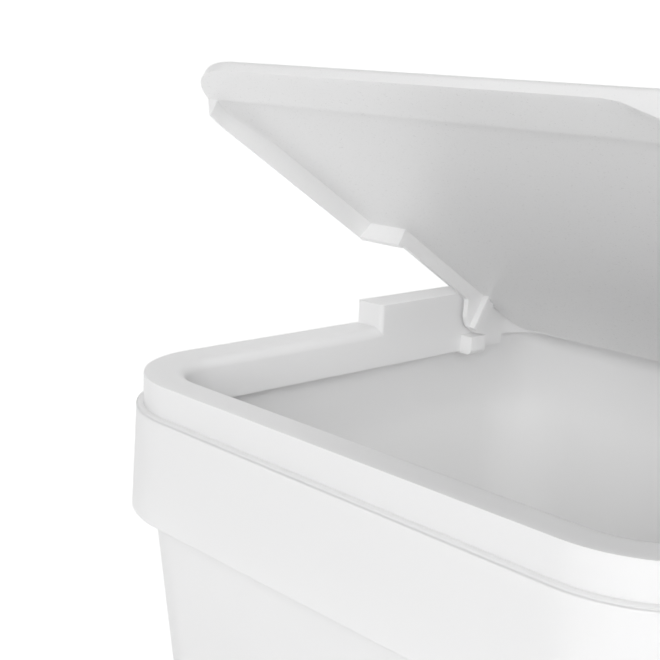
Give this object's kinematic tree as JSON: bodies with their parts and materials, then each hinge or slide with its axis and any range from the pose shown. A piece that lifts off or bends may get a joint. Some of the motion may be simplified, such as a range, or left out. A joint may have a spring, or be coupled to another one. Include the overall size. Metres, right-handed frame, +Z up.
{
  "type": "countertop trash can with swing lid",
  "caption": "Square tapered countertop bin with a lid frame that straddles its rim and a lid that tips open on two pins near its rear.",
  "frame": {"origin": "on the table, under the middle of the can's footprint", "axes": "+Z up, -Y towards the front that the lid opens on, +X to the right seen from the front"},
  "size_m": [0.2086, 0.2064, 0.3397],
  "materials": {
    "bucket_plastic": "satin white",
    "frame_plastic": "satin white",
    "lid_plastic": "satin white"
  },
  "bodies": {
    "bucket": {"bucket": "bucket_plastic"},
    "frame": {"lid_frame": "frame_plastic"},
    "lid": {"swing_lid": "lid_plastic"}
  },
  "joints": [
    {"name": "frame_lift", "type": "slide", "parent": "bucket", "child": "frame", "axis": [0, 0, 1], "range_m": [0, 0.06]},
    {"name": "lid_swing", "type": "hinge", "parent": "frame", "child": "lid", "pos_m": [0, 0.0524, 0.2459], "axis": [-1, 0, 0], "range_deg": [-32.5, 45]}
  ]
}
